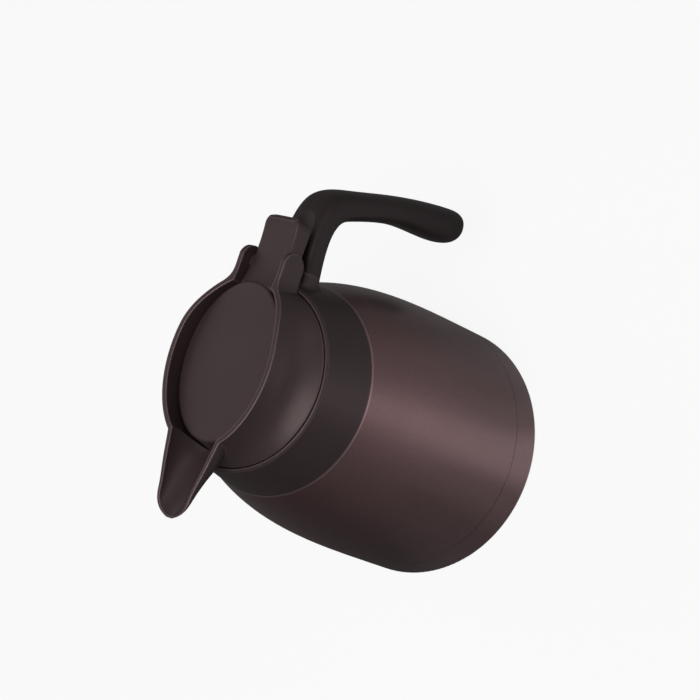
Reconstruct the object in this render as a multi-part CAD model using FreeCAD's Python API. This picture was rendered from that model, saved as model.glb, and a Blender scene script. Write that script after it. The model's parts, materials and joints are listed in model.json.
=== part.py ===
"""Vacuum jug with a rocking lid: one solid, or one group of solids, per named piece.

Millimetres. The origin is the centre of the foot on the table, +Z is up,
+X points to the handle and -X to the spout. The jug is mirrored in the plane Y = 0.
"""
import FreeCAD, Part
import math
import os

V = FreeCAD.Vector
UP = V(0, 0, 1)
ACROSS = V(0, 1, 0)

# Metal body
BODY_R = 70.0            # radius at the foot
COLLAR_Z = 135.6         # where the metal meets the collar
BODY_TAPER = 0.9         # straight draw-in from the foot to the collar
SHOULDER_DROP = 13.5     # rounded draw-in on top of the straight one
SHOULDER_POWER = 4.1     # how late the shoulder turns in
SHELL_WALL = 0.8
SEAM_Z = 19.8            # line round the foot where the bottom cup begins
SEAM_GAP = 0.3
LAP_HEIGHT = 5.0         # the cup's lip inside the wall above the line
FOOT_EDGE_R = 2.0
FOOT_RING_WIDTH = 6.0    # flat ring that stands on the table
FOOT_RISE = 3.0          # recess of the bottom inside the ring
PUMP_HOLE_R = 2.5
SEAL_CAP_R = 4.5
SEAL_CAP_H = 1.0
NECK_RISE = 10.9         # from the collar's foot to the straight neck
NECK_DEPTH = 12.8        # from the collar's top down to the neck's end

# Inner flask
VACUUM_GAP = 3.0
FLASK_WALL = 0.8
FLASK_FLOOR_Z = 8.0
FLASK_CORNER_R = 4.0
FLASK_SHOULDER_DROP = 13.6  # the flask turns in this far below the collar's foot
FLASK_NECK_RISE = 4.4    # and its neck is straight from this far above it
NECK_GAP = 1.0           # between the two walls of the neck
FOIL_THICK = 0.3
FOIL_MARGIN = 4.0        # foil ends this far short of the straight wall
GETTER_R = 6.0
GETTER_THICK = 1.0

# Collar
COLLAR_H = 29.2
COLLAR_DRAW = 6.2        # its top is this much smaller in radius than its foot
COLLAR_WALL = 2.6
COLLAR_CHAMFER = 1.2
COLLAR_LIP = 1.3         # from its outside to its mouth, at the top
LEDGE_DEPTH = 2.6        # the lid unit sits this far down in the collar
LEDGE_THICK = 2.6
LEDGE_WIDTH = 5.1
SLEEVE_WALL = 2.2
SLEEVE_RISE = 1.0        # the sleeve ends this far above the neck's bend
NECK_CLEARANCE = 0.4     # collar sleeve round the metal neck
SEAL_CORD_R = 0.8
SEAL_CORD_RISE = 2.8     # cord's centre above the collar's foot

# Handle stations: out from the collar's top edge, up from the collar's top, thickness, width, squareness
HANDLE_ROOT = (-4.0, -12.6, 15.6, 29.0, 4.0)
HANDLE_SHOULDER = (5.0, -12.0, 14.0, 26.5, 4.0)
HANDLE_ARM = (14.0, -11.6, 13.4, 25.0, 4.0)
HANDLE_REST = (27.0, -11.9, 13.4, 23.6, 3.8)
HANDLE_KNEE = (43.0, -18.0, 16.4, 23.0, 3.2)
HANDLE_TOP = (50.8, -34.8, 15.6, 22.0, 2.6)
HANDLE_GRIP = (60.4, -70.8, 15.6, 22.0, 2.4)
HANDLE_SWELL = (65.0, -102.8, 19.4, 24.0, 2.2)
HANDLE_END = (66.8, -114.3, 19.2, 24.0, 2.2)
HANDLE_DOME = 11.5       # length of the rounded end
HANDLE_LEAN = 4.5        # the end's tip lies this far outside the centre line
HANDLE_BLEND = 4.0       # fillet where the arm leaves the collar
HANDLE_JOINT = 7.0       # the handle is joined to the collar's boss this far out
GROOVE_R = 24.0          # shallow hollow along the top of the arm, under the lever
GROOVE_DEPTH = 1.2
SCREW_DROP = 13.3        # handle screws below the collar's top
SCREW_Y = 7.0
SCREW_R = 1.75
SCREW_LENGTH = 17.0
SCREW_HEAD_R = 3.4
SCREW_HEAD_H = 2.2

# Lid unit: the pour ring
LID_SEAM_GAP = 0.5
LID_FOOT_H = 2.9
RIM_RISE = 22.1          # the oval rim above the lid's round foot
RIM_SET_END = 1.1        # the oval lies this far inside the foot at the spout and the handle
RIM_SET_SIDE = 14.3      # and this far at the sides
RIM_SHIFT = 2.0          # the oval's centre lies this far towards the handle
RIM_WALL = 2.6
FLANK_POWER = 3.0        # how fast the flank turns up to the rim
FLOOR_RISE = 1.2         # floor of the bowl above the lid's round foot
FLOOR_THICK = 2.0
DUCT_SET = 12.3          # the pouring duct is this much smaller in radius than the oval's half width
SPOUT_LENGTH = 34.5      # from the oval to the tip
SPOUT_SHARE = 0.477      # half width at the root, of the oval's half width
SPOUT_NARROWING = 0.22   # half width lost per millimetre
SPOUT_NOSE = 12.0        # length of the rounded tip
SPOUT_TIP_FLAT = 0.2     # the very tip is blunt
SPOUT_BURIED = 10.0      # the spout's form starts this far inside the oval
SPOUT_CLIMB = 0.8        # how early its underside climbs
SPOUT_ROOT_RISE = 2.2    # its underside starts this far above the lid's round foot
SPOUT_TIP_DROP = 3.4     # and ends this far below the rim
SPOUT_LIP_DROP = 2.0     # the rim dips this far at the tip
SPOUT_DIP = 14.0         # over this length
SPOUT_WALL_ROOT = 2.4
SPOUT_WALL_TIP = 1.2
RIM_FALL = 34.5          # the rim falls to the cheeks from this far before the oval's back end
CHEEK_DROP = 6.8         # top of the cheeks below the rim
CHEEK_SHARE = 0.456      # outer face of a cheek, of the oval's half width
CHEEK_WALL = 2.6
CHEEK_FLARE_BACK = 0.5   # the cheek's face starts to flare this far behind the oval
CHEEK_FLARE_ANGLE = 36.0  # place on the oval where the flare ends, in degrees
CHEEK_END_R = 7.8
CHEEK_END_OVER = 0.3     # the round end's top reaches this far over the cheek's
CHEEK_LEVEL = 2.6        # the cheek's top is level from this far before the pivot
CHEEK_FOOT_GAP = 0.7     # cheeks over the collar's top
SILL_RISE = 0.7          # low back wall between the cheeks, above the bowl's floor

# Lid unit: the stopper
STOPPER_DROP = 3.6       # its bottom below the collar's foot
STOPPER_GAP = 1.6        # round it in the neck
STOPPER_WALL = 2.0
THREAD_GAP = 0.4         # round its upper part in the collar's sleeve
FLANGE_GAP = 0.3
FOOT_WALL = 3.1
LIP_SEAL_THICK = 1.7
LIP_SEAL_ROOM = 0.25     # above and below the seal on the lip
DUCT_WALL = 2.0
DUCT_SEAL_WIDTH = 2.2
DUCT_SEAL_H = 2.1

# Rocking lid
LID_TOP_RISE = 15.1      # its face above the lid unit's round foot
LID_H = 11.4
LID_GAP_END = 2.7        # between its face and the bowl's wall at the ends
LID_GAP_SIDE = 1.7
LID_SHIFT = 0.5          # its face lies this far behind the oval's centre
LID_FLARE_FRONT = 2.4    # its wall leans out towards the spout
LID_FLARE_SIDE = 1.0
LID_EDGE_R = 1.2
LID_WALL = 2.2
PIVOT_BACK = 6.1         # pivot behind the oval
PIVOT_RISE = 5.1         # and above the lid unit's round foot
PIN_R = 1.5
PIN_RUNNING_GAP = 0.04
PIN_SEAT_GAP = 0.02
PIN_SEAT_DEPTH = 1.5
HUB_R = 4.2
LEVER_SIDE_GAP = 1.2     # between the lever and a cheek
LEVER_REACH = 26.0       # end of the lever behind the pivot
LEVER_BITE = 1.0         # the tongue's top starts this far inside the lid's face
LEVER_NOSE = 5.0         # length of the lever's rounded end
LEVER_CORNER_R = 6.0     # corners of the lever's end, in plan
LEVER_CREASE_DROP = 2.1  # where the tongue leaves the lid, below its face
LEVER_DISH_BACK = 10.4
LEVER_DISH_RISE = 3.7
LEVER_END_RISE = 4.9
LEVER_LOW_DROP = 5.2
TONGUE_LOW_DROP = 1.0
LEVER_EDGE_R = 1.6
PLATE_H = 1.8            # plug plate under the lid, a little wider than the lid's wall
PLATE_LIP = 0.2
PLUG_GAP = 1.4           # round the plug's nose in the duct
PLUG_WALL = 1.8
PLUG_DEPTH = 8.6         # length of the nose
LID_SEAL_SET = 0.7       # seal ring outside the duct's edge
LID_SEAL_WIDTH = 3.6
LID_SEAL_THICK = 1.2
SEAL_GROOVE = 1.0

# Spring on the pin
WIRE_R = 0.4
COIL_R = 2.5
COIL_TURNS = 4
COIL_PITCH = 1.3
SPRING_FRONT_LEG = 8.4
SPRING_REAR_LEG = 7.4
SPRING_POCKET_HALF_W = 4.6
SPRING_POCKET_GAP = 0.7

# Fits
CLOSE_GAP = 0.1          # pieces that sit together in one body
RUN_GAP = 0.3            # pieces that move past each other
SCREW_GAP = 0.1

SECTION_POINTS = 24      # points of one handle section
TOUCH = 0.05             # nearer than this counts as touching
SPAN = 400.0             # longer than the jug, for cutting solids


def side_r(z):
    """Outer radius of the metal wall at height z: a straight taper plus a late rounded draw-in."""
    t = z / COLLAR_Z
    return BODY_R - BODY_TAPER * t - SHOULDER_DROP * t ** SHOULDER_POWER


def spread(low, high, count):
    """Evenly spaced values from low to high."""
    return [low + (high - low) * i / (count - 1) for i in range(count)]


def point(r, z):
    return V(r, 0, z)


def line(start, end):
    return Part.LineSegment(start, end).toShape()


def curve(points):
    """Smooth curve through the points."""
    spline = Part.BSplineCurve()
    spline.interpolate(points)
    return spline.toShape()


def polygon(points):
    """Straight edges from point to point."""
    return [line(a, b) for a, b in zip(points, points[1:])]


def spun(edges):
    """Solid of revolution about the jug's axis from closed edges in the plane Y = 0."""
    face = Part.Face(Part.Wire(Part.__sortEdges__(edges)))
    return face.revolve(V(0, 0, 0), UP, 360)


def ring(points):
    """Solid of revolution from a closed polygon of (r, z) pairs."""
    corners = [point(r, z) for r, z in points]
    return spun(polygon(corners + corners[:1]))


def rod_x(r, start, end, y, z):
    return Part.makeCylinder(r, end - start, V(start, y, z), V(1, 0, 0))


def rod_y(r, half, x, z):
    return Part.makeCylinder(r, 2 * half, V(x, -half, z), ACROSS)


def block(x0, x1, half_y, z0, z1):
    return Part.makeBox(x1 - x0, 2 * half_y, z1 - z0, V(x0, -half_y, z0))


def oval(shift, length, width, z):
    """Elliptical wire at height z, longer along X."""
    return Part.Wire(Part.Ellipse(V(shift, 0, z), length, width).toShape())


def oval_prism(shift, length, width, low, high):
    return Part.Face(oval(shift, length, width, low)).extrude(V(0, 0, high - low))


def slab(edges, half_y):
    """Solid from closed edges in the plane Y = 0, carried the same way to both sides."""
    face = Part.Face(Part.Wire(Part.__sortEdges__(edges)))
    face.translate(V(0, -half_y, 0))
    return face.extrude(V(0, 2 * half_y, 0))


def mirrored(shape):
    return shape.mirror(V(0, 0, 0), ACROSS)


def middle(edge):
    return edge.valueAt((edge.FirstParameter + edge.LastParameter) / 2)


def lies_on(faces, spot):
    """Whether a point lies on one of the faces."""
    vertex = Part.Vertex(spot)
    return min(face.distToShape(vertex)[0] for face in faces) < TOUCH


# Places that follow from the sizes: the neck and the collar

COLLAR_TOP_Z = COLLAR_Z + COLLAR_H
COLLAR_TOP_R = side_r(COLLAR_Z) - COLLAR_DRAW
COLLAR_MOUTH_R = COLLAR_TOP_R - COLLAR_LIP
COLLAR_LOW_Z = COLLAR_Z + CLOSE_GAP
LEDGE_Z = COLLAR_TOP_Z - LEDGE_DEPTH
SLEEVE_R = COLLAR_MOUTH_R - LEDGE_WIDTH
NECK_R = SLEEVE_R - NECK_CLEARANCE
NECK_BORE_R = NECK_R - SHELL_WALL
MOUTH_R = NECK_BORE_R - NECK_GAP - FLASK_WALL
NECK_TURN_Z = COLLAR_Z + NECK_RISE
NECK_TOP_Z = COLLAR_TOP_Z - NECK_DEPTH
SLEEVE_LOW_Z = NECK_TURN_Z + SLEEVE_RISE
STEP_R = side_r(COLLAR_Z) - COLLAR_WALL - CLOSE_GAP


# Metal body

def wall_curve(inset, low, high):
    """Profile of the metal wall, moved in by inset, between two heights."""
    return curve([point(side_r(z) - inset, z) for z in spread(low, high, 7)])


def make_outer_shell():
    low = SEAM_Z + SEAM_GAP
    inner_top = COLLAR_Z - SHELL_WALL
    outside = [point(side_r(COLLAR_Z), COLLAR_Z), point(STEP_R, COLLAR_Z), point(NECK_R, NECK_TURN_Z),
               point(NECK_R, NECK_TOP_Z), point(NECK_BORE_R, NECK_TOP_Z),
               point(NECK_BORE_R, NECK_TURN_Z - SHELL_WALL / 2), point(STEP_R - SHELL_WALL / 2, inner_top),
               point(side_r(inner_top) - SHELL_WALL, inner_top)]
    foot = line(point(side_r(low) - SHELL_WALL, low), point(side_r(low), low))
    return spun([wall_curve(0, low, COLLAR_Z), wall_curve(SHELL_WALL, low, inner_top), foot]
                + polygon(outside))


def foot_arc(r, z, radius):
    """Quarter round from the wall down to the table, with its corner at (r, z)."""
    turn = radius * (1 - math.sqrt(0.5))
    return Part.Arc(point(r, z + radius), point(r - turn, z + turn), point(r - radius, z)).toShape()


def make_base_cup():
    lap_r = side_r(SEAM_Z) - SHELL_WALL - CLOSE_GAP
    lap_top = SEAM_Z + LAP_HEIGHT
    foot_r = BODY_R - FOOT_EDGE_R
    ring_r = foot_r - FOOT_RING_WIDTH
    rise_r = ring_r - FOOT_RISE / 2
    inner_r = BODY_R - SHELL_WALL
    lap_in = lap_r - SHELL_WALL
    outside = polygon([point(lap_in, lap_top), point(lap_r, lap_top), point(lap_r, SEAM_Z),
                       point(side_r(SEAM_Z), SEAM_Z), point(BODY_R, FOOT_EDGE_R)])
    underside = polygon([point(foot_r, 0), point(ring_r, 0), point(rise_r, FOOT_RISE),
                         point(PUMP_HOLE_R, FOOT_RISE), point(PUMP_HOLE_R, FOOT_RISE + SHELL_WALL),
                         point(rise_r + SHELL_WALL / 2, FOOT_RISE + SHELL_WALL),
                         point(ring_r + SHELL_WALL / 2, SHELL_WALL), point(foot_r, SHELL_WALL)])
    inside = polygon([point(inner_r, FOOT_EDGE_R), point(inner_r, SEAM_Z - LAP_HEIGHT),
                      point(lap_in, SEAM_Z - SHELL_WALL), point(lap_in, lap_top)])
    arcs = [foot_arc(BODY_R, 0, FOOT_EDGE_R), foot_arc(inner_r, SHELL_WALL, FOOT_EDGE_R - SHELL_WALL)]
    return spun(outside + underside + inside + arcs)


def make_vacuum_seal():
    top = FOOT_RISE + SHELL_WALL
    cap_low = FOOT_RISE - CLOSE_GAP - SEAL_CAP_H
    stub_r = PUMP_HOLE_R - CLOSE_GAP
    return ring([(0, cap_low), (SEAL_CAP_R, cap_low), (SEAL_CAP_R, cap_low + SEAL_CAP_H),
                 (stub_r, cap_low + SEAL_CAP_H), (stub_r, top), (0, top)])


# Inner flask: a bottom, a wall and a neck welded edge to edge

FLASK_INSET = SHELL_WALL + VACUUM_GAP
FLASK_IN = FLASK_INSET + FLASK_WALL
FLASK_FLOOR_TOP_Z = FLASK_FLOOR_Z + FLASK_WALL
FLASK_WALL_Z = FLASK_FLOOR_Z + FLASK_CORNER_R
FLASK_FOOT_R = side_r(FLASK_WALL_Z) - FLASK_INSET - FLASK_CORNER_R
FLASK_SHOULDER_Z = COLLAR_Z - FLASK_SHOULDER_DROP
FLASK_NECK_Z = COLLAR_Z + FLASK_NECK_RISE


def across_wall(z):
    """Edge through the flask's wall at height z."""
    return line(point(side_r(z) - FLASK_INSET, z), point(side_r(z) - FLASK_IN, z))


def foot_bend(inset, floor_z, corner):
    """Rounded foot of one surface of the wall, from the floor's edge up to the straight part."""
    wall_r = side_r(FLASK_WALL_Z) - inset
    turn = corner * math.sqrt(0.5)
    start = point(wall_r - corner, floor_z)
    mid = point(wall_r - corner + turn, FLASK_WALL_Z - turn)
    return Part.Arc(start, mid, point(wall_r, FLASK_WALL_Z)).toShape()


def make_flask_bottom():
    r = FLASK_FOOT_R - CLOSE_GAP
    return ring([(0, FLASK_FLOOR_Z), (r, FLASK_FLOOR_Z), (r, FLASK_FLOOR_TOP_Z), (0, FLASK_FLOOR_TOP_Z)])


def make_flask_wall():
    """Drawn wall with a rounded foot that the bottom disc is welded into."""
    sides = [wall_curve(inset, FLASK_WALL_Z, FLASK_SHOULDER_Z) for inset in (FLASK_INSET, FLASK_IN)]
    bends = [foot_bend(FLASK_INSET, FLASK_FLOOR_Z, FLASK_CORNER_R),
             foot_bend(FLASK_IN, FLASK_FLOOR_TOP_Z, FLASK_CORNER_R - FLASK_WALL)]
    weld = line(point(FLASK_FOOT_R, FLASK_FLOOR_Z), point(FLASK_FOOT_R, FLASK_FLOOR_TOP_Z))
    return spun(sides + bends + [weld, across_wall(FLASK_SHOULDER_Z)])


def make_flask_neck():
    low = FLASK_SHOULDER_Z + CLOSE_GAP
    neck_out = MOUTH_R + FLASK_WALL
    lip_low = NECK_TOP_Z + CLOSE_GAP
    lip_top = lip_low + FLASK_WALL
    return ring([(side_r(low) - FLASK_INSET, low), (neck_out, FLASK_NECK_Z), (neck_out, lip_low),
                 (NECK_R, lip_low),
                 (NECK_R, lip_top), (MOUTH_R, lip_top), (MOUTH_R, FLASK_NECK_Z),
                 (side_r(low) - FLASK_IN, low)])


def make_radiation_foil():
    low = FLASK_WALL_Z + FOIL_MARGIN
    high = FLASK_SHOULDER_Z - FOIL_MARGIN
    near = FLASK_INSET - CLOSE_GAP
    far = near - FOIL_THICK
    ends = [line(point(side_r(z) - near, z), point(side_r(z) - far, z)) for z in (low, high)]
    return spun([wall_curve(near, low, high), wall_curve(far, low, high)] + ends)


def make_getter():
    top = FLASK_FLOOR_Z - CLOSE_GAP
    return ring([(0, top - GETTER_THICK), (GETTER_R, top - GETTER_THICK), (GETTER_R, top), (0, top)])


# Collar and handle

SCREW_Z = COLLAR_TOP_Z - SCREW_DROP
JOINT_X = COLLAR_TOP_R + HANDLE_JOINT


def collar_r(z):
    """Outer radius of the collar, a straight cone."""
    return side_r(COLLAR_Z) - COLLAR_DRAW * (z - COLLAR_Z) / COLLAR_H


def collar_outline():
    """Outer edge of the collar from its foot to the chamfered top."""
    chamfer_z = COLLAR_TOP_Z - COLLAR_CHAMFER
    return [(collar_r(COLLAR_LOW_Z), COLLAR_LOW_Z), (collar_r(chamfer_z), chamfer_z),
            (collar_r(chamfer_z) - COLLAR_CHAMFER, COLLAR_TOP_Z)]


def squared_oval(centre, across, half_thick, half_width, squareness):
    """Closed smooth wire: a squared ellipse spanned by the given direction and Y."""
    power = 2 / squareness
    points = []
    for i in range(SECTION_POINTS):
        angle = 2 * math.pi * i / SECTION_POINTS
        c, s = math.cos(angle), math.sin(angle)
        u = math.copysign(abs(c) ** power, c) * half_thick
        w = math.copysign(abs(s) ** power, s) * half_width
        points.append(centre + across * u + ACROSS * w)
    spline = Part.BSplineCurve()
    spline.interpolate(points, PeriodicFlag=True)
    return Part.Wire(spline.toShape())


def handle_sections():
    """Cross sections of the handle along its centre line, with a domed end that leans outward."""
    stations = [HANDLE_ROOT, HANDLE_SHOULDER, HANDLE_ARM, HANDLE_REST, HANDLE_KNEE, HANDLE_TOP, HANDLE_GRIP,
                HANDLE_SWELL, HANDLE_END]
    centres = [point(COLLAR_TOP_R + station[0], COLLAR_TOP_Z + station[1]) for station in stations]
    path = Part.BSplineCurve()
    path.interpolate(centres)
    wires = []
    for centre, (out, up, thick, width, squareness) in zip(centres, stations):
        along = path.tangent(path.parameter(centre))[0]
        across = along.cross(ACROSS)
        wires.append(squared_oval(centre, across, thick / 2, width / 2, squareness))
    outward = across * math.copysign(1, across.x)
    for reach in (0.4, 0.7, 0.88, 0.97, 0.997):
        scale = math.sqrt(1 - reach ** 2)
        tip = centre + along * (HANDLE_DOME * reach) + outward * (HANDLE_LEAN * (1 - scale))
        wires.append(squared_oval(tip, across, scale * thick / 2, scale * width / 2, squareness))
    return wires


def arm_groove():
    """Shallow hollow that deepens along the top of the arm, to clear the lever."""
    out, up, thick, width, squareness = HANDLE_REST
    top = COLLAR_TOP_Z + up + thick / 2
    run = COLLAR_TOP_R + out - JOINT_X
    axis = V(run, 0, -GROOVE_DEPTH)
    start = V(JOINT_X, 0, top + GROOVE_R)
    return Part.makeCylinder(GROOVE_R, 2 * run, start, axis)


def collar_with_arm():
    """Outside of the collar and the handle in one form, with the root of the arm rounded into the cone."""
    cone = ring([(0, COLLAR_LOW_Z)] + collar_outline() + [(0, COLLAR_TOP_Z)])
    cone.rotate(V(0, 0, 0), UP, 180)
    arm = Part.makeLoft(handle_sections(), True)
    both = cone.fuse(arm)
    cone_side = [face for face in cone.Faces if face.BoundBox.ZLength > COLLAR_H / 2]
    arm_side = [face for face in arm.Faces if face.BoundBox.XLength > HANDLE_JOINT]
    roots = []
    for edge in both.Edges:
        if lies_on(cone_side, middle(edge)) and lies_on(arm_side, middle(edge)):
            roots.append(edge)
    return both.makeFillet(HANDLE_BLEND, roots).cut(arm_groove())


def screw_start():
    """Where a handle screw's head meets the inside of the collar."""
    r = collar_r(SCREW_Z + SCREW_HEAD_R) - COLLAR_WALL
    return math.sqrt(r ** 2 - (SCREW_Y + SCREW_HEAD_R) ** 2) - CLOSE_GAP


def screw_holes():
    """Clearance holes for the two handle screws, through the collar's wall and into the arm."""
    end = screw_start() + SCREW_LENGTH + CLOSE_GAP
    near = SLEEVE_R + SLEEVE_WALL
    return [rod_x(SCREW_R + SCREW_GAP, near, end, side * SCREW_Y, SCREW_Z) for side in (-1, 1)]


def make_collar():
    shelf_z = LEDGE_Z - LEDGE_THICK
    below = COLLAR_LOW_Z - COLLAR_H
    sleeve_out = SLEEVE_R + SLEEVE_WALL
    foot_in = collar_r(COLLAR_LOW_Z) - COLLAR_WALL
    mouth = ring([(0, below), (SLEEVE_R, below), (SLEEVE_R, LEDGE_Z), (COLLAR_MOUTH_R, LEDGE_Z),
                  (COLLAR_MOUTH_R, COLLAR_TOP_Z + COLLAR_H), (0, COLLAR_TOP_Z + COLLAR_H)])
    room = ring([(0, below), (foot_in, below), (foot_in, COLLAR_LOW_Z),
                 (collar_r(shelf_z) - COLLAR_WALL, shelf_z),
                 (sleeve_out, shelf_z), (sleeve_out, SLEEVE_LOW_Z), (0, SLEEVE_LOW_Z)])
    beyond = block(JOINT_X, JOINT_X + SPAN, SPAN, -SPAN, SPAN)
    return COLLAR_FORM.cut([mouth, room, beyond] + screw_holes())


def make_shoulder_seal():
    """Cord ring wedged between the collar's wall and the metal step."""
    z = COLLAR_Z + SEAL_CORD_RISE
    r = collar_r(z) - COLLAR_WALL - CLOSE_GAP - SEAL_CORD_R
    return Part.makeTorus(r, SEAL_CORD_R, V(0, 0, z), UP)


def make_handle():
    near = block(-SPAN, JOINT_X + CLOSE_GAP, SPAN, -SPAN, SPAN)
    return COLLAR_FORM.cut([near] + screw_holes())


def make_handle_screws():
    screws = []
    seat = screw_start()
    for side in (-1, 1):
        shank = rod_x(SCREW_R, seat, seat + SCREW_LENGTH, side * SCREW_Y, SCREW_Z)
        head = rod_x(SCREW_HEAD_R, seat - SCREW_HEAD_H, seat, side * SCREW_Y, SCREW_Z)
        screws.append(head.fuse(shank).removeSplitter())
    return Part.makeCompound(screws)


# Pour ring

LID_FOOT_LOW_Z = LEDGE_Z + RUN_GAP
LID_FOOT_R = COLLAR_MOUTH_R - LID_SEAM_GAP
FLANK_Z = LID_FOOT_LOW_Z + LID_FOOT_H
RIM_Z = FLANK_Z + RIM_RISE
RIM_LENGTH = LID_FOOT_R - RIM_SET_END
RIM_WIDTH = LID_FOOT_R - RIM_SET_SIDE
BOWL_LENGTH = RIM_LENGTH - RIM_WALL
BOWL_WIDTH = RIM_WIDTH - RIM_WALL
BOWL_FLOOR_Z = FLANK_Z + FLOOR_RISE
FLOOR_LOW_Z = BOWL_FLOOR_Z - FLOOR_THICK
DUCT_R = RIM_WIDTH - DUCT_SET
SPOUT_START = RIM_LENGTH - RIM_SHIFT
SPOUT_REACH = SPOUT_START + SPOUT_LENGTH
SPOUT_ROOT_W = RIM_WIDTH * SPOUT_SHARE
SPOUT_ROOT_Z = FLANK_Z + SPOUT_ROOT_RISE
SPOUT_TIP_Z = RIM_Z - SPOUT_TIP_DROP
SPOUT_LIP_Z = RIM_Z - SPOUT_LIP_DROP
RIM_BACK = RIM_SHIFT + RIM_LENGTH
CHEEK_OUT = RIM_WIDTH * CHEEK_SHARE
CHEEK_IN = CHEEK_OUT - CHEEK_WALL
CHEEK_TOP_Z = RIM_Z - CHEEK_DROP
CHEEK_LOW_Z = COLLAR_TOP_Z + CHEEK_FOOT_GAP
SILL_Z = BOWL_FLOOR_Z + SILL_RISE
PIVOT_X = RIM_BACK + PIVOT_BACK
PIVOT_Z = FLANK_Z + PIVOT_RISE


def flank():
    """Flank from the round foot up to the oval rim, hollow-curved in section."""
    wires = []
    for share in spread(0, 1, 7):
        turn = (1 - share) ** FLANK_POWER
        length = RIM_LENGTH + (LID_FOOT_R - RIM_LENGTH) * turn
        width = RIM_WIDTH + (LID_FOOT_R - RIM_WIDTH) * turn
        wires.append(oval(RIM_SHIFT * (1 - turn), length, width, FLANK_Z + RIM_RISE * share))
    return Part.makeLoft(wires, True)


def spout_half_width(reach):
    """Half width of the spout at this distance from the jug's axis."""
    nose_start = SPOUT_REACH - SPOUT_NOSE
    straight = SPOUT_ROOT_W - SPOUT_NARROWING * (min(reach, nose_start) - SPOUT_START)
    nose = max(0.0, reach - nose_start) / SPOUT_NOSE
    return straight * math.sqrt(1 - nose ** 2)


def spout_low_z(reach):
    """Height of the spout's underside: it climbs quickly at the root and slowly at the tip."""
    share = max(0.0, (reach - SPOUT_START) / SPOUT_LENGTH)
    return SPOUT_ROOT_Z + (SPOUT_TIP_Z - SPOUT_ROOT_Z) * share ** SPOUT_CLIMB


def spout_section(reach, half_width, low_z):
    """Closed wire across the spout: a straight top and a rounded trough."""
    points = []
    for angle in spread(0, math.pi, 9):
        points.append(V(-reach, -half_width * math.cos(angle), RIM_Z - (RIM_Z - low_z) * math.sin(angle)))
    return Part.Wire([curve(points), line(points[-1], points[0])])


def spout_solid(inset):
    """Spout body, or its channel when inset is 1."""
    start = SPOUT_START - SPOUT_BURIED
    end = SPOUT_REACH - SPOUT_TIP_FLAT - inset * SPOUT_WALL_TIP
    wires = []
    for share in (0.0, 0.25, 0.5, 0.7, 0.85, 0.95, 1.0):
        reach = start + (end - start) * share
        wall = inset * (SPOUT_WALL_ROOT + (SPOUT_WALL_TIP - SPOUT_WALL_ROOT) * share)
        wires.append(spout_section(reach, spout_half_width(reach) - wall, spout_low_z(reach) + wall))
    return Part.makeLoft(wires, True)


def cheek():
    """One cheek: a flat plate behind the oval, flared where it leaves the rim, with a round end."""
    angle = math.radians(CHEEK_FLARE_ANGLE)
    flare = V(RIM_SHIFT + RIM_LENGTH * math.cos(angle), RIM_WIDTH * math.sin(angle), CHEEK_LOW_Z)
    slope = V(RIM_LENGTH * math.sin(angle), -RIM_WIDTH * math.cos(angle), 0).normalize()
    end_x = PIVOT_X + CHEEK_END_R
    bend = V(RIM_BACK + CHEEK_FLARE_BACK, CHEEK_OUT, CHEEK_LOW_Z)
    pull = bend.distanceToPoint(flare)
    blend = Part.BSplineCurve()
    blend.interpolate([flare, bend], InitialTangent=slope * pull, FinalTangent=V(pull, 0, 0))
    back = [bend, V(end_x, CHEEK_OUT, CHEEK_LOW_Z), V(end_x, CHEEK_IN, CHEEK_LOW_Z),
            V(flare.x, CHEEK_IN, CHEEK_LOW_Z), flare]
    plan = Part.Face(Part.Wire([blend.toShape()] + polygon(back)))
    plate = plan.extrude(V(0, 0, RIM_Z - CHEEK_LOW_Z))
    front = block(0, PIVOT_X, SPAN, CHEEK_LOW_Z, RIM_Z)
    round_z = CHEEK_TOP_Z - CHEEK_END_R + CHEEK_END_OVER
    return plate.common(front.fuse(rod_y(CHEEK_END_R, SPAN, PIVOT_X, round_z)))


def above_rim():
    """Cutting solid over the rim line, which dips at the spout and falls to the cheeks."""
    sky = RIM_Z + SPAN
    dip_x = SPOUT_DIP - SPOUT_REACH
    fall_x = RIM_SHIFT + RIM_LENGTH - RIM_FALL
    low_x = PIVOT_X - CHEEK_LEVEL
    dip = Part.BSplineCurve()
    dip.interpolate([point(-SPOUT_REACH, SPOUT_LIP_Z), point(dip_x, RIM_Z)],
                    InitialTangent=V(SPOUT_DIP, 0, 1.6 * SPOUT_LIP_DROP), FinalTangent=V(SPOUT_DIP, 0, 0))
    run = low_x - fall_x
    drop = Part.BSplineCurve()
    drop.interpolate([point(fall_x, RIM_Z), point(low_x, CHEEK_TOP_Z)],
                     InitialTangent=V(run, 0, 0), FinalTangent=V(run, 0, 0))
    level = line(point(dip_x, RIM_Z), point(fall_x, RIM_Z))
    frame = polygon([point(low_x, CHEEK_TOP_Z), point(SPAN, CHEEK_TOP_Z), point(SPAN, sky),
                     point(-SPAN, sky), point(-SPAN, SPOUT_LIP_Z), point(-SPOUT_REACH, SPOUT_LIP_Z)])
    return slab([dip.toShape(), level, drop.toShape()] + frame, SPAN)


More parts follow.
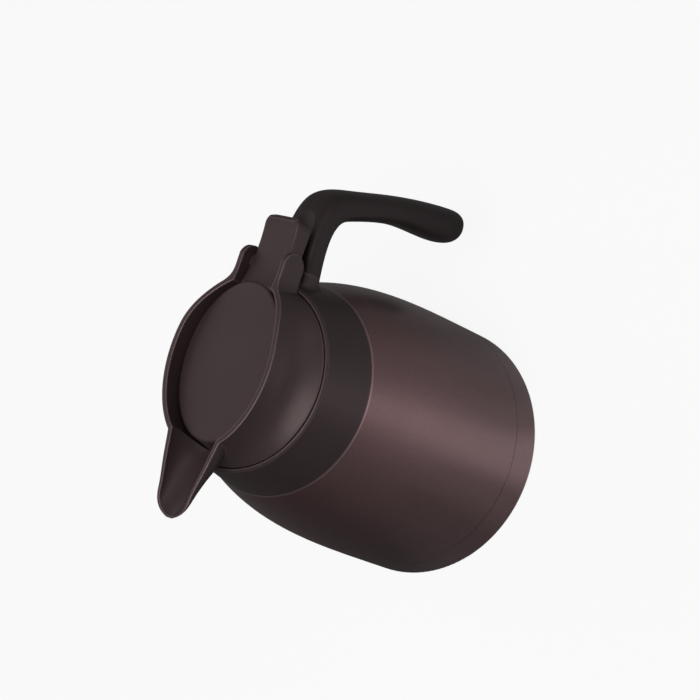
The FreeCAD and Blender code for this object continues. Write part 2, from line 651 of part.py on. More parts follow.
def make_pour_ring():
    foot = ring([(0, LID_FOOT_LOW_Z), (LID_FOOT_R, LID_FOOT_LOW_Z), (LID_FOOT_R, FLANK_Z), (0, FLANK_Z)])
    one_cheek = cheek()
    body = foot.fuse([flank(), spout_solid(0), one_cheek, mirrored(one_cheek)])
    bowl = oval_prism(RIM_SHIFT, BOWL_LENGTH, BOWL_WIDTH, BOWL_FLOOR_Z, RIM_Z + RIM_RISE)
    inside_r = LID_FOOT_R - FOOT_WALL
    recess = ring([(0, LID_FOOT_LOW_Z - LID_FOOT_H), (inside_r, LID_FOOT_LOW_Z - LID_FOOT_H),
                   (inside_r, FLOOR_LOW_Z), (0, FLOOR_LOW_Z)])
    duct = Part.makeCylinder(DUCT_R, 2 * RIM_RISE, V(0, 0, LID_FOOT_LOW_Z), UP)
    gap_between = block(RIM_SHIFT, SPAN, CHEEK_IN, SILL_Z, RIM_Z + RIM_RISE)
    seat = rod_y(PIN_R + PIN_SEAT_GAP, CHEEK_IN + PIN_SEAT_DEPTH, PIVOT_X, PIVOT_Z)
    return body.cut([bowl, spout_solid(1), recess, duct, gap_between, seat, above_rim()]).removeSplitter()


# Stopper

STOPPER_TOP_Z = FLOOR_LOW_Z - CLOSE_GAP
STOPPER_BOTTOM_Z = COLLAR_Z - STOPPER_DROP
STOPPER_SHOULDER_Z = NECK_TOP_Z + CLOSE_GAP + FLASK_WALL + LIP_SEAL_THICK + 2 * LIP_SEAL_ROOM
STOPPER_R = MOUTH_R - STOPPER_GAP
STOPPER_TOP_R = SLEEVE_R - THREAD_GAP
FLANGE_R = LID_FOOT_R - FOOT_WALL - FLANGE_GAP
DUCT_OUT_R = DUCT_R + DUCT_WALL
CUP_HOLE_R = DUCT_OUT_R + CLOSE_GAP


def make_stopper_body():
    """Round cup with a flange, and a hole in its floor for the duct."""
    flange_z = LID_FOOT_LOW_Z + RUN_GAP
    inner_r = STOPPER_R - STOPPER_WALL
    upper_in = STOPPER_TOP_R - STOPPER_WALL
    floor_z = STOPPER_BOTTOM_Z + STOPPER_WALL
    shelf_z = STOPPER_SHOULDER_Z + STOPPER_WALL
    return ring([(CUP_HOLE_R, STOPPER_BOTTOM_Z), (STOPPER_R, STOPPER_BOTTOM_Z),
                 (STOPPER_R, STOPPER_SHOULDER_Z),
                 (STOPPER_TOP_R, STOPPER_SHOULDER_Z), (STOPPER_TOP_R, flange_z), (FLANGE_R, flange_z),
                 (FLANGE_R, STOPPER_TOP_Z), (upper_in, STOPPER_TOP_Z), (upper_in, shelf_z),
                 (inner_r, shelf_z),
                 (inner_r, floor_z), (CUP_HOLE_R, floor_z)])


def make_pour_duct():
    return ring([(DUCT_R, STOPPER_BOTTOM_Z), (DUCT_OUT_R, STOPPER_BOTTOM_Z), (DUCT_OUT_R, STOPPER_TOP_Z),
                 (DUCT_R, STOPPER_TOP_Z)])


def duct_seal_box():
    """Inner radius, outer radius and low of the ring round the duct's top."""
    return CUP_HOLE_R, CUP_HOLE_R + DUCT_SEAL_WIDTH, STOPPER_TOP_Z - DUCT_SEAL_H


def make_stopper_foam():
    near, far, low = duct_seal_box()
    inner_r = STOPPER_R - STOPPER_WALL - CLOSE_GAP
    upper_r = STOPPER_TOP_R - STOPPER_WALL - CLOSE_GAP
    floor_z = STOPPER_BOTTOM_Z + STOPPER_WALL + CLOSE_GAP
    shelf_z = STOPPER_SHOULDER_Z + STOPPER_WALL + CLOSE_GAP
    return ring([(near, floor_z), (inner_r, floor_z), (inner_r, shelf_z), (upper_r, shelf_z),
                 (upper_r, STOPPER_TOP_Z), (far + CLOSE_GAP, STOPPER_TOP_Z),
                 (far + CLOSE_GAP, low - CLOSE_GAP),
                 (near, low - CLOSE_GAP)])


def make_duct_seal():
    near, far, low = duct_seal_box()
    return ring([(near, low), (far, low), (far, STOPPER_TOP_Z), (near, STOPPER_TOP_Z)])


def make_stopper_gasket():
    """Flat ring on the lip of the mouth, under the stopper's shoulder."""
    high = STOPPER_SHOULDER_Z - LIP_SEAL_ROOM
    low = high - LIP_SEAL_THICK
    near = STOPPER_R + RUN_GAP
    far = STOPPER_TOP_R - RUN_GAP
    return ring([(near, low), (far, low), (far, high), (near, high)])


# Rocking lid

LID_X = RIM_SHIFT + LID_SHIFT
LID_TOP_Z = FLANK_Z + LID_TOP_RISE
LID_BOTTOM_Z = LID_TOP_Z - LID_H
LID_LENGTH = BOWL_LENGTH - LID_GAP_END
LID_WIDTH = BOWL_WIDTH - LID_GAP_SIDE
LID_LOW_X = LID_X - LID_FLARE_FRONT / 2
LID_LOW_LENGTH = LID_LENGTH + LID_FLARE_FRONT / 2
LID_LOW_WIDTH = LID_WIDTH + LID_FLARE_SIDE
PLATE_TOP_Z = LID_BOTTOM_Z - CLOSE_GAP
PLATE_LOW_Z = PLATE_TOP_Z - PLATE_H
PLUG_R = DUCT_R - PLUG_GAP
PLUG_LOW_Z = PLATE_TOP_Z - PLUG_DEPTH
LEVER_HALF_W = CHEEK_IN - LEVER_SIDE_GAP
LEVER_END_X = PIVOT_X + LEVER_REACH
LEVER_END_Z = PIVOT_Z + LEVER_END_RISE
LEVER_LOW_Z = PIVOT_Z - LEVER_LOW_DROP
LEVER_NECK_X = LID_X + LID_LENGTH - LEVER_BITE
LEVER_NECK_Z = LID_TOP_Z - LEVER_CREASE_DROP


def lever():
    """Tongue, thumb dish and lever end as one bar between the cheeks, its end rounded in plan."""
    start = LEVER_NECK_X - 2 * LID_WALL
    tongue_z = PIVOT_Z - TONGUE_LOW_DROP
    dish = point(PIVOT_X + LEVER_DISH_BACK, PIVOT_Z + LEVER_DISH_RISE)
    neck = point(LEVER_NECK_X, LEVER_NECK_Z)
    lip = point(LEVER_END_X - LEVER_NOSE / 2, LEVER_END_Z)
    toe = point(LEVER_END_X - LEVER_NOSE, LEVER_LOW_Z)
    fall = dish - neck
    top = Part.BSplineCurve()
    top.interpolate([neck, dish, lip], InitialTangent=V(fall.x, 0, 2.2 * fall.z),
                    FinalTangent=V(fall.x, 0, 0.2 * fall.x))
    nose = curve([lip, point(LEVER_END_X, (LEVER_END_Z + LEVER_LOW_Z) / 2), toe])
    under = polygon([toe, point(PIVOT_X + HUB_R, LEVER_LOW_Z), point(PIVOT_X - HUB_R, tongue_z),
                     point(start, tongue_z), point(start, LEVER_NECK_Z), neck])
    bar = slab([top.toShape(), nose] + under, LEVER_HALF_W)
    plan = block(start - LID_WALL, LEVER_END_X + TOUCH, LEVER_HALF_W, LEVER_LOW_Z - LID_H, LID_TOP_Z + LID_H)
    corners = [edge for edge in plan.Edges if edge.BoundBox.ZLength > LID_H and edge.BoundBox.XMin > PIVOT_X]
    corner_r = min(LEVER_CORNER_R, LEVER_HALF_W - LEVER_EDGE_R)
    return bar.common(plan.makeFillet(corner_r, corners))


def side_edges(shape, half_y):
    """Upper edges along the two sides of a bar."""
    box = shape.BoundBox
    limit = box.ZMin + box.ZLength / 3
    return [e for e in shape.Edges
            if abs(abs(middle(e).y) - half_y) < TOUCH and middle(e).z > limit
            and e.BoundBox.XLength > LEVER_EDGE_R]


def spring_room():
    """Space in the hub and under the lever for the wound spring and its two legs."""
    room = COIL_R + WIRE_R + SPRING_POCKET_GAP
    half = SPRING_POCKET_HALF_W
    floor_z = LEVER_LOW_Z - LID_H
    roof = PIVOT_Z - COIL_R + WIRE_R + RUN_GAP
    rear = PIVOT_X + SPRING_REAR_LEG + 2 * WIRE_R
    return [rod_y(room, half, PIVOT_X, PIVOT_Z),
            block(PIVOT_X - room, PIVOT_X + room, half, floor_z, PIVOT_Z),
            block(PIVOT_X, rear, half, floor_z, roof),
            block(PIVOT_X - room - HUB_R, PIVOT_X, half, floor_z, roof)]


def make_lid_cap():
    face = oval(LID_X, LID_LENGTH, LID_WIDTH, LID_TOP_Z)
    foot = oval(LID_LOW_X, LID_LOW_LENGTH, LID_LOW_WIDTH, LID_BOTTOM_Z)
    puck = Part.makeLoft([foot, face], True, True)
    rim = [e for e in puck.Edges if e.BoundBox.ZMin > LID_TOP_Z - TOUCH]
    puck = puck.makeFillet(LID_EDGE_R, rim)
    bar = lever()
    bar = bar.makeFillet(LEVER_EDGE_R, side_edges(bar, LEVER_HALF_W))
    hub = rod_y(HUB_R, CHEEK_IN - RUN_GAP, PIVOT_X, PIVOT_Z)
    hollow = oval_prism(LID_X, LID_LENGTH - LID_WALL, LID_WIDTH - LID_WALL, LID_BOTTOM_Z - LID_H,
                        LID_TOP_Z - LID_WALL)
    bore = rod_y(PIN_R + PIN_RUNNING_GAP, SPAN, PIVOT_X, PIVOT_Z)
    return puck.fuse([bar, hub]).cut([hollow, bore] + spring_room()).removeSplitter()


def make_lid_plug():
    plate = oval_prism(LID_LOW_X, LID_LOW_LENGTH + PLATE_LIP, LID_LOW_WIDTH + PLATE_LIP, PLATE_LOW_Z,
                       PLATE_TOP_Z)
    nose = Part.makeCylinder(PLUG_R, PLATE_TOP_Z - PLUG_LOW_Z, V(0, 0, PLUG_LOW_Z), UP)
    hollow = Part.makeCylinder(PLUG_R - PLUG_WALL, SPAN, V(0, 0, PLUG_LOW_Z + PLUG_WALL), UP)
    near, far, low, high = lid_seal_box()
    groove = ring([(near - CLOSE_GAP, PLATE_LOW_Z - PLATE_H), (far + CLOSE_GAP, PLATE_LOW_Z - PLATE_H),
                   (far + CLOSE_GAP, high + CLOSE_GAP), (near - CLOSE_GAP, high + CLOSE_GAP)])
    return plate.fuse(nose).cut([hollow, groove]).removeSplitter()


def make_lid_foam():
    low = PLATE_TOP_Z + CLOSE_GAP
    high = LID_TOP_Z - LID_WALL - CLOSE_GAP
    inset = LID_WALL + CLOSE_GAP
    upper = oval_prism(LID_X, LID_LENGTH - inset, LID_WIDTH - inset, low, high)
    core_low = PLUG_LOW_Z + PLUG_WALL + CLOSE_GAP
    core = Part.makeCylinder(PLUG_R - PLUG_WALL - CLOSE_GAP, high - core_low, V(0, 0, core_low), UP)
    return upper.fuse(core).removeSplitter()


def lid_seal_box():
    """Inner radius, outer radius, low and high of the seal ring in the plug plate's groove."""
    near = DUCT_R + LID_SEAL_SET
    high = PLATE_LOW_Z + SEAL_GROOVE - CLOSE_GAP
    return near, near + LID_SEAL_WIDTH, high - LID_SEAL_THICK, high


def make_lid_gasket():
    near, far, low, high = lid_seal_box()
    return ring([(near, low), (far, low), (far, high), (near, high)])


def make_hinge_pin():
    return rod_y(PIN_R, CHEEK_IN + PIN_SEAT_DEPTH - CLOSE_GAP, PIVOT_X, PIVOT_Z)


def coil_point(turns):
    """Point of the coil after this many turns from its lowest point."""
    angle = 2 * math.pi * turns - math.pi / 2
    y = COIL_PITCH * (turns - COIL_TURNS / 2)
    return V(PIVOT_X + COIL_R * math.cos(angle), y, PIVOT_Z + COIL_R * math.sin(angle))


def spring_path():
    """One leg forward on the sill, the coil as quarter turns, and one leg back under the lever."""
    first, last = coil_point(0), coil_point(COIL_TURNS)
    edges = [line(first - V(SPRING_FRONT_LEG, 0, 0), first)]
    for quarter in range(4 * COIL_TURNS):
        stops = [coil_point((quarter + share) / 4) for share in (0, 0.5, 1)]
        edges.append(Part.Arc(*stops).toShape())
    edges.append(line(last, last + V(SPRING_REAR_LEG, 0, 0)))
    return edges


def least_wire_gap(edges):
    """Least free space between parts of the wire that lie at least half a turn apart along it."""
    spots = []
    walked = 0.0
    for edge in edges:
        for spot in edge.discretize(Number=13)[:-1]:
            spots.append((walked, spot))
            walked += edge.Length / 12
    apart = math.pi * COIL_R
    gaps = [p.distanceToPoint(q) for s, p in spots for t, q in spots if t - s > apart]
    return min(gaps) - 2 * WIRE_R


def make_hinge_spring():
    edges = spring_path()
    start = edges[0].Vertexes[0].Point
    section = Part.Wire(Part.makeCircle(WIRE_R, start, V(1, 0, 0)))
    print("spring: least gap between turns", round(least_wire_gap(edges), 3))
    return Part.Wire(edges).makePipeShell([section], True, False)


COLLAR_FORM = collar_with_arm()
MAKERS = {
    "outer_shell": make_outer_shell,
    "base_cup": make_base_cup,
    "vacuum_seal": make_vacuum_seal,
    "flask_bottom": make_flask_bottom,
    "flask_wall": make_flask_wall,
    "flask_neck": make_flask_neck,
    "radiation_foil": make_radiation_foil,
    "getter": make_getter,
    "collar": make_collar,
    "shoulder_seal": make_shoulder_seal,
    "handle": make_handle,
    "handle_screws": make_handle_screws,
    "pour_ring": make_pour_ring,
    "stopper_body": make_stopper_body,
    "pour_duct": make_pour_duct,
    "stopper_foam": make_stopper_foam,
    "duct_seal": make_duct_seal,
    "stopper_gasket": make_stopper_gasket,
    "lid_cap": make_lid_cap,
    "lid_plug": make_lid_plug,
    "lid_foam": make_lid_foam,
    "lid_gasket": make_lid_gasket,
    "hinge_pin": make_hinge_pin,
    "hinge_spring": make_hinge_spring,
}

os.makedirs("parts", exist_ok=True)
for name, make in MAKERS.items():
    solid = make()
    solid.exportStep(f"parts/{name}.step")
    print(name, "solids", len(solid.Solids), "valid", solid.isValid(), "volume", round(solid.Volume, 1))
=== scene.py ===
"""Vacuum jug: finishes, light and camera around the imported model. Metres."""
import json
import math

import bpy
from mathutils import Matrix, Vector

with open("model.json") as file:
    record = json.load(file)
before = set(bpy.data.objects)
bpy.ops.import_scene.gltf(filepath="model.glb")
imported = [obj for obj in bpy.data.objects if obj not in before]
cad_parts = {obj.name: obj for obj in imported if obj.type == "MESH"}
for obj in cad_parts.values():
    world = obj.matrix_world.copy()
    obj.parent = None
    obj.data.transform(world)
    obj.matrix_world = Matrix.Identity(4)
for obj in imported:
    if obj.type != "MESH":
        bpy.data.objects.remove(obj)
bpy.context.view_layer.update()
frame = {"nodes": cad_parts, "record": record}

# Camera, fitted to the jug's own circles in the photograph
IMAGE_PX = 700
FOCAL_PX = 2000.0
SENSOR_MM = 36.0
CAMERA_PLACE = (-0.0675, -0.6544, 0.9056)
CAMERA_AZIMUTH = -8.70
CAMERA_ELEVATION = 50.84
CAMERA_ROLL = -65.24
CAMERA_CLIP = 0.01


def srgb(r, g, b):
    """Linear colour with alpha from screen values of 0 to 255."""
    out = []
    for c in (r, g, b):
        c = c / 255
        out.append(c / 12.92 if c <= 0.04045 else ((c + 0.055) / 1.055) ** 2.4)
    return (*out, 1.0)


# Shader groups

COLOUR, VALUE, VECTOR = "NodeSocketColor", "NodeSocketFloat", "NodeSocketVector"
FINISH_OUTPUTS = (("Colour", COLOUR), ("Roughness", VALUE), ("Normal", VECTOR))
BLACK = (0, 0, 0, 1)
GRAIN_RELIEF, FLAKE_RELIEF, BRUSH_RELIEF, CELL_RELIEF = 0.00008, 0.00003, 0.00005, 0.0004
FLAKE_DEPTH, BRUSH_DEPTH = 0.08, 0.12
SLOW_TONE, SLOW_GLOSS = 24.0, 18.0      # scales of the slow changes over a surface
BRUSH_SCALE = 6.0
COAT_ROUGHNESS = 0.35
PLASTIC_SPECULAR = 0.3
EDGE_R, EDGE_SAMPLES = 0.0014, 8
EDGE_TURN = 0.85            # cosine at which an edge counts as turned
# Painted highlight: a paler tone mixed into the moulded plastics where their edges round off
EDGE_HIGHLIGHT_TONE = srgb(128, 106, 109)
EDGE_HIGHLIGHT_SHARE = 0.8            # of the painted edge highlight where an edge turns
LIP_HIGHLIGHT_Z = (0.1346, 0.135)     # heights between which the painted highlight at the shell's upper edge begins
PIGMENT = 0.3               # share of metallic pigment in the outer plastics


def new_group(name, inputs):
    """Empty finish group: its tree, its inputs by name and its output node."""
    tree = bpy.data.node_groups.new(name, "ShaderNodeTree")
    for label, kind, value in inputs:
        tree.interface.new_socket(label, in_out="INPUT", socket_type=kind).default_value = value
    for label, kind in FINISH_OUTPUTS:
        tree.interface.new_socket(label, in_out="OUTPUT", socket_type=kind)
    given = tree.nodes.new("NodeGroupInput").outputs
    return tree, given, tree.nodes.new("NodeGroupOutput").inputs


def add(tree, kind, links=None, **values):
    """Add a node; links maps its inputs to sockets, values sets its properties."""
    node = tree.nodes.new(kind)
    for key, value in values.items():
        setattr(node, key, value)
    for key, source in (links or {}).items():
        if isinstance(source, bpy.types.NodeSocket):
            tree.links.new(source, node.inputs[key])
        else:
            node.inputs[key].default_value = source
    return node


def noise(tree, place, scale, detail):
    """Soft noise from 0 to 1."""
    return add(tree, "ShaderNodeTexNoise", {"Vector": place, "Scale": scale, "Detail": detail}).outputs["Fac"]


def remap(tree, value, low, high, to_low, to_high):
    """Value carried from one range onto another and held at its ends."""
    links = {"Value": value, "From Min": low, "From Max": high, "To Min": to_low, "To Max": to_high}
    return add(tree, "ShaderNodeMapRange", links).outputs["Result"]


def blend(tree, share, first, second):
    """Colour between first and second."""
    return add(tree, "ShaderNodeMix", {0: share, 6: first, 7: second}, data_type="RGBA").outputs[2]


def rounded(tree):
    """Normal of edges rounded by EDGE_R, and the share by which an edge turns away from its flat faces."""
    normal = add(tree, "ShaderNodeBevel", {"Radius": EDGE_R}, samples=EDGE_SAMPLES).outputs["Normal"]
    flat = add(tree, "ShaderNodeNewGeometry").outputs["Normal"]
    same = add(tree, "ShaderNodeVectorMath", {0: normal, 1: flat}, operation="DOT_PRODUCT").outputs["Value"]
    return normal, remap(tree, same, 1.0, EDGE_TURN, 0.0, 1.0)


def bump(tree, height, strength, distance, normal=None):
    """Relief on the surface, or on a normal that is given."""
    links = {"Height": height, "Strength": strength, "Distance": distance}
    if normal:
        links["Normal"] = normal
    return add(tree, "ShaderNodeBump", links).outputs["Normal"]


def moulded_group():
    """Fine moulded grain: small noise for the surface, wide noise for slow changes of tone, and a painted
    highlight: a paler tone on rounded edges.
    """
    tree, given, out = new_group("moulded_grain", (
        ("Tone", COLOUR, BLACK), ("Pale Tone", COLOUR, BLACK), ("Grain", VALUE, 1800.0),
        ("Depth", VALUE, 0.2), ("Smooth", VALUE, 0.45), ("Rough", VALUE, 0.6), ("Edge", VALUE, 0.0),
        ("Edge Highlight Tone", COLOUR, BLACK)))
    place = add(tree, "ShaderNodeTexCoord").outputs["Object"]
    normal, turned = rounded(tree)
    fine = noise(tree, place, given["Grain"], 2.0)
    wide = noise(tree, place, SLOW_TONE, 3.0)
    tone = blend(tree, remap(tree, wide, 0.3, 0.7, 0.0, 1.0), given["Tone"], given["Pale Tone"])
    speck = blend(tree, remap(tree, fine, 0.35, 0.75, 0.0, 0.35), tone, given["Pale Tone"])
    # Painted highlight: the edge highlight tone mixed in where an edge turns
    painted_edge_highlight = add(tree, "ShaderNodeMath", {0: turned, 1: given["Edge"]}, operation="MULTIPLY").outputs[0]
    tree.links.new(blend(tree, painted_edge_highlight, speck, given["Edge Highlight Tone"]), out["Colour"])
    tree.links.new(remap(tree, fine, 0.3, 0.7, given["Smooth"], given["Rough"]), out["Roughness"])
    tree.links.new(bump(tree, fine, given["Depth"], GRAIN_RELIEF, normal), out["Normal"])
    return tree


def flake_group():
    """Metallic paint: cells of slightly different brightness, and a painted highlight, a paler band at the
    shell's upper edge.
    """
    tree, given, out = new_group("flake_paint", (
        ("Tone", COLOUR, BLACK), ("Flake", COLOUR, BLACK), ("Cells", VALUE, 2600.0),
        ("Smooth", VALUE, 0.3), ("Rough", VALUE, 0.4), ("Lip Highlight Tone", COLOUR, BLACK)))
    place = add(tree, "ShaderNodeTexCoord").outputs["Object"]
    height = add(tree, "ShaderNodeSeparateXYZ", {"Vector": place}).outputs["Z"]
    lip_highlight = remap(tree, height, *LIP_HIGHLIGHT_Z, 0.0, 1.0)
    cells = add(tree, "ShaderNodeTexVoronoi", {"Vector": place, "Scale": given["Cells"]})
    lit = add(tree, "ShaderNodeSeparateColor", {"Color": cells.outputs["Color"]}).outputs["Red"]
    wide = noise(tree, place, SLOW_GLOSS, 2.0)
    shine = remap(tree, lit, 0.0, 1.0, 0.0, 0.8)
    paint = blend(tree, shine, given["Tone"], given["Flake"])
    # Painted highlight: the paler tone above the shell's upper edge
    tree.links.new(blend(tree, lip_highlight, paint, given["Lip Highlight Tone"]), out["Colour"])
    tree.links.new(remap(tree, wide, 0.35, 0.65, given["Smooth"], given["Rough"]), out["Roughness"])
    tree.links.new(bump(tree, lit, FLAKE_DEPTH, FLAKE_RELIEF), out["Normal"])
    return tree


def brushed_group():
    """Brush lines that run round the axis: noise squeezed along Z."""
    tree, given, out = new_group("brushed_lines", (
        ("Tone", COLOUR, BLACK), ("Line Tone", COLOUR, BLACK), ("Lines", VALUE, 2200.0),
        ("Smooth", VALUE, 0.22), ("Rough", VALUE, 0.42)))
    place = add(tree, "ShaderNodeTexCoord").outputs["Object"]
    parts = add(tree, "ShaderNodeSeparateXYZ", {"Vector": place}).outputs
    tall = add(tree, "ShaderNodeMath", {0: parts["Z"], 1: given["Lines"]}, operation="MULTIPLY").outputs[0]
    drawn = add(tree, "ShaderNodeCombineXYZ", {"X": parts["X"], "Y": parts["Y"], "Z": tall}).outputs[0]
    lines = noise(tree, drawn, BRUSH_SCALE, 4.0)
    tree.links.new(blend(tree, lines, given["Tone"], given["Line Tone"]), out["Colour"])
    tree.links.new(remap(tree, lines, 0.3, 0.7, given["Smooth"], given["Rough"]), out["Roughness"])
    tree.links.new(bump(tree, lines, BRUSH_DEPTH, BRUSH_RELIEF), out["Normal"])
    return tree


def cell_group():
    """Open cells or crumpled facets: rounded cells of uneven size with a deep relief."""
    tree, given, out = new_group("cells", (
        ("Tone", COLOUR, BLACK), ("Deep Tone", COLOUR, BLACK), ("Cells", VALUE, 700.0),
        ("Depth", VALUE, 0.6), ("Smooth", VALUE, 0.8), ("Rough", VALUE, 0.95)))
    place = add(tree, "ShaderNodeTexCoord").outputs["Object"]
    cells = add(tree, "ShaderNodeTexVoronoi", {"Vector": place, "Scale": given["Cells"]}).outputs["Distance"]
    tree.links.new(blend(tree, remap(tree, cells, 0.1, 0.7, 0.0, 1.0), given["Tone"], given["Deep Tone"]),
                   out["Colour"])
    tree.links.new(remap(tree, cells, 0.0, 0.8, given["Smooth"], given["Rough"]), out["Roughness"])
    tree.links.new(bump(tree, cells, given["Depth"], CELL_RELIEF), out["Normal"])
    return tree


MOULDED, FLAKE, BRUSHED, CELLS = moulded_group(), flake_group(), brushed_group(), cell_group()


def new_material(name):
    """Empty node material with its Principled shader."""
    material = bpy.data.materials.new(name)
    material.use_nodes = True
    return material, material.node_tree, material.node_tree.nodes["Principled BSDF"]


def finish(name, group, inputs, metallic=0.0, specular=0.4, coat=0.0):
    """Material from a finish group and its own values."""
    material, tree, shader = new_material(name)
    node = tree.nodes.new("ShaderNodeGroup")
    node.node_tree = group
    for key, value in inputs.items():
        node.inputs[key].default_value = value
    for key, socket in (("Colour", "Base Color"), ("Roughness", "Roughness"), ("Normal", "Normal")):
        tree.links.new(node.outputs[key], shader.inputs[socket])
    shader.inputs["Metallic"].default_value = metallic
    shader.inputs["Specular IOR Level"].default_value = specular
    shader.inputs["Coat Weight"].default_value = coat
    shader.inputs["Coat Roughness"].default_value = COAT_ROUGHNESS
    return material


def moulded(name, tone, pale, smooth, rough, grain=1800.0, depth=0.25, pigment=0.0, edge=0.0):
    """Moulded material; pigment is its share of fine metallic pigment, edge that of the painted edge
    highlight.
    """
    return finish(name, MOULDED, {"Tone": tone, "Pale Tone": pale, "Smooth": smooth, "Rough": rough,
                                  "Grain": grain, "Depth": depth, "Edge": edge, "Edge Highlight Tone": EDGE_HIGHLIGHT_TONE},
                  metallic=pigment, specular=PLASTIC_SPECULAR)


# The paler upper tone of the body paint is a painted highlight along the shell's edge where it meets the
# collar
BODY_PAINT = finish("body_paint", FLAKE, {"Tone": srgb(111, 86, 88), "Flake": srgb(123, 96, 98),
                                          "Lip Highlight Tone": srgb(152, 123, 126)},
                    metallic=0.85, coat=0.1)
DARK_PLASTIC = moulded("dark_plastic", srgb(58, 46, 47), srgb(64, 51, 52), 0.4, 0.5,
                       pigment=PIGMENT, edge=EDGE_HIGHLIGHT_SHARE)
# Painted shade: a darker copy of the dark plastic, for the handle
SHADED_GRIP_PLASTIC = moulded("grip_plastic_painted_shade", srgb(44, 35, 36), srgb(49, 39, 40), 0.42, 0.52,
                       pigment=PIGMENT, edge=EDGE_HIGHLIGHT_SHARE)
LID_PLASTIC = moulded("lid_plastic", srgb(64, 50, 51), srgb(70, 55, 56), 0.4, 0.5,
                      pigment=PIGMENT, edge=EDGE_HIGHLIGHT_SHARE)
INNER_PLASTIC = moulded("inner_plastic", srgb(56, 50, 50), srgb(66, 60, 60), 0.5, 0.65, grain=900.0)
STEEL = finish("flask_steel", BRUSHED, {"Tone": srgb(178, 176, 172), "Line Tone": srgb(206, 204, 200)},
               metallic=1.0)
SMALL_STEEL = finish("small_steel", BRUSHED, {"Tone": srgb(160, 160, 160), "Line Tone": srgb(192, 192, 192),
                                              "Lines": 600.0}, metallic=1.0)
FOIL = finish("foil", CELLS, {"Tone": srgb(232, 232, 234), "Deep Tone": srgb(214, 214, 218), "Cells": 160.0,
                              "Depth": 0.35, "Smooth": 0.12, "Rough": 0.25}, metallic=1.0)
FOAM = finish("foam", CELLS, {"Tone": srgb(232, 228, 214), "Deep Tone": srgb(196, 190, 172)})
SILICONE = moulded("silicone", srgb(188, 186, 180), srgb(202, 200, 194), 0.5, 0.7, grain=700.0)

FINISH = {"body_metal": BODY_PAINT, "flask_steel": STEEL, "foil": FOIL, "small_steel": SMALL_STEEL,
          "dark_plastic": DARK_PLASTIC, "lid_plastic": LID_PLASTIC, "inner_plastic": INNER_PLASTIC,
          "foam": FOAM, "silicone": SILICONE}


def dress(node, material):
    """Give a carried-over CAD node its finish."""
    mesh = frame["nodes"][node].data
    mesh.materials.clear()
    mesh.materials.append(material)


for part in frame["record"]["subparts"]:
    dress(part["node"], FINISH[part["material_slot"]])
# The handle takes the darker copy of the dark plastic: painted shade
dress("handle", SHADED_GRIP_PLASTIC)


# Camera, floor and light

def add_camera():
    """Camera at the place found, turned by azimuth and elevation, then rolled about its own line of sight."""
    a, e, roll = (math.radians(v) for v in (CAMERA_AZIMUTH, CAMERA_ELEVATION, CAMERA_ROLL))
    back = Vector((math.sin(a) * math.cos(e), -math.cos(a) * math.cos(e), math.sin(e)))
    level = Vector((math.cos(a), math.sin(a), 0.0))
    rise = back.cross(level)
    right = level * math.cos(roll) + rise * math.sin(roll)
    up = back.cross(right)
    data = bpy.data.cameras.new("camera")
    data.sensor_width = SENSOR_MM
    data.lens = FOCAL_PX / IMAGE_PX * SENSOR_MM
    data.clip_start = CAMERA_CLIP
    camera = bpy.data.objects.new("camera", data)
    turn = Matrix((right, up, back)).transposed().to_4x4()
    camera.matrix_world = Matrix.Translation(CAMERA_PLACE) @ turn
    bpy.context.collection.objects.link(camera)
    bpy.context.scene.camera = camera


LAMP_SIZE = 0.8
LAMP_TARGET = Vector((0.0, 0.0, 0.1))
LAMPS = (("key", (-0.35, -0.5, 1.5), 13), ("fill", (0.9, -0.9, 0.8), 1.5), ("rim", (0.2, 1.0, 0.9), 2))


def add_lamp(name, place, power):
    """Square soft lamp at place, facing the jug."""
    data = bpy.data.lights.new(name, "AREA")
    data.shape = "SQUARE"
    data.size = LAMP_SIZE
    data.energy = power
    lamp = bpy.data.objects.new(name, data)
    lamp.location = place
    lamp.rotation_euler = (LAMP_TARGET - Vector(place)).to_track_quat("-Z", "Y").to_euler()
    bpy.context.collection.objects.link(lamp)


FLOOR_HALF = 40.0
FLOOR_TONE = (0.85, 0.85, 0.85, 1)
FLOOR_ROUGHNESS = 0.9
WHITE_SHARE = 0.9           # of the floor's look that stays white in the shade
WHITE_GLOW = 1.0
WORLD_LIGHT = 0.09
WORLD_MIRRORED = 0.3        # what mirrored rays see above the floor
# Strips of light on the floor, for mirrored rays alone: angle round the jug from the camera's side, and level
GLOW_TURN = math.radians(-6)
GLOW_NEAR, GLOW_HIGH = 0.85, 1.2
GLOW_REACH = (0.07, 0.19)   # from the jug's axis, where the light grows from near to high
GLOW_STOPS = ((-180, 0.12), (-90, 0.16), (-50, 0.36), (-32, 0.52), (-19, 1.0), (-9, 1.0), (6, 0.42),
              (34, 0.2), (80, 0.06), (180, 0.12))


def rays(tree):
    """Masks of the rays that look straight at a surface and of those that are mirrored in the object."""
    path = add(tree, "ShaderNodeLightPath").outputs
    straight = add(tree, "ShaderNodeMath", {0: path["Is Camera Ray"], 1: path["Is Transmission Ray"]},
                   operation="MAXIMUM").outputs[0]
    return straight, path["Is Glossy Ray"]


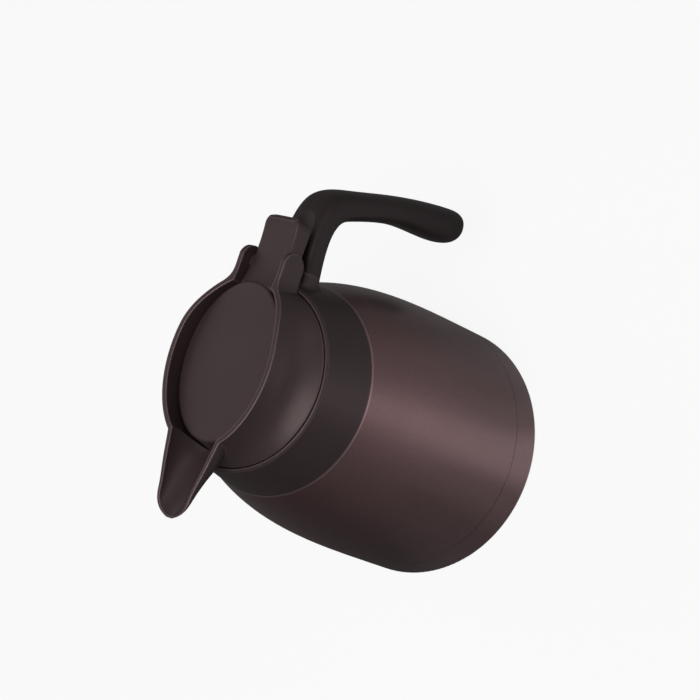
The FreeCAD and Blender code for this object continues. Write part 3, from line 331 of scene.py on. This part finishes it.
def strips(tree):
    """Light in strips round the jug, stronger away from its foot."""
    place = add(tree, "ShaderNodeTexCoord").outputs["Object"]
    c, s = math.cos(GLOW_TURN), math.sin(GLOW_TURN)
    along, across = (
        add(tree, "ShaderNodeVectorMath", {0: place, 1: way}, operation="DOT_PRODUCT").outputs["Value"]
        for way in ((s, -c, 0), (-c, -s, 0)))
    turn = add(tree, "ShaderNodeMath", {0: across, 1: along}, operation="ARCTAN2").outputs[0]
    ramp = add(tree, "ShaderNodeValToRGB", {"Fac": remap(tree, turn, -math.pi, math.pi, 0.0, 1.0)})
    ramp.color_ramp.interpolation = "EASE"
    stops = ramp.color_ramp.elements
    while len(stops) < len(GLOW_STOPS):
        stops.new(1.0)
    for stop, (angle, level) in zip(stops, GLOW_STOPS):
        stop.position = 0.5 + angle / 360
        stop.color = (level, level, level, 1)
    away = add(tree, "ShaderNodeVectorMath", {0: place}, operation="LENGTH").outputs["Value"]
    high = remap(tree, away, *GLOW_REACH, GLOW_NEAR, GLOW_HIGH)
    strength = add(tree, "ShaderNodeMath", {0: ramp.outputs["Color"], 1: high},
                   operation="MULTIPLY").outputs[0]
    return add(tree, "ShaderNodeEmission", {"Strength": strength}).outputs[0]


def add_floor():
    """Wide pale floor of one face: white with a shadow to the camera, strips of light to mirrored rays."""
    mesh = bpy.data.meshes.new("floor")
    corners = [(x * FLOOR_HALF, y * FLOOR_HALF, 0) for x, y in ((-1, -1), (1, -1), (1, 1), (-1, 1))]
    mesh.from_pydata(corners, [], [(0, 1, 2, 3)])
    floor = bpy.data.objects.new("floor", mesh)
    bpy.context.collection.objects.link(floor)
    material, tree, shader = new_material("floor")
    shader.inputs["Base Color"].default_value = FLOOR_TONE
    shader.inputs["Roughness"].default_value = FLOOR_ROUGHNESS
    shader.inputs["Specular IOR Level"].default_value = 0.0
    straight, mirrored = rays(tree)
    white = add(tree, "ShaderNodeEmission", {"Strength": WHITE_GLOW}).outputs[0]
    seen = add(tree, "ShaderNodeMath", {0: straight, 1: WHITE_SHARE}, operation="MULTIPLY").outputs[0]
    shown = add(tree, "ShaderNodeMixShader", {0: seen, 1: shader.outputs[0], 2: white}).outputs[0]
    both = add(tree, "ShaderNodeMixShader", {0: mirrored, 1: shown, 2: strips(tree)}).outputs[0]
    tree.links.new(both, tree.nodes["Material Output"].inputs["Surface"])
    mesh.materials.append(material)


def set_world():
    """Even pale surroundings, white where the camera looks straight at them."""
    world = bpy.data.worlds.new("studio")
    bpy.context.scene.world = world
    world.use_nodes = True
    tree = world.node_tree
    straight, mirrored = rays(tree)
    around = remap(tree, mirrored, 0.0, 1.0, WORLD_LIGHT, WORLD_MIRRORED)
    level = remap(tree, straight, 0.0, 1.0, around, WHITE_GLOW)
    back = tree.nodes["Background"]
    back.inputs["Color"].default_value = (1, 1, 1, 1)
    tree.links.new(level, back.inputs["Strength"])


add_camera()
add_floor()
set_world()
for name, place, power in LAMPS:
    add_lamp(name, place, power)

bpy.context.scene.view_settings.view_transform = "Standard"
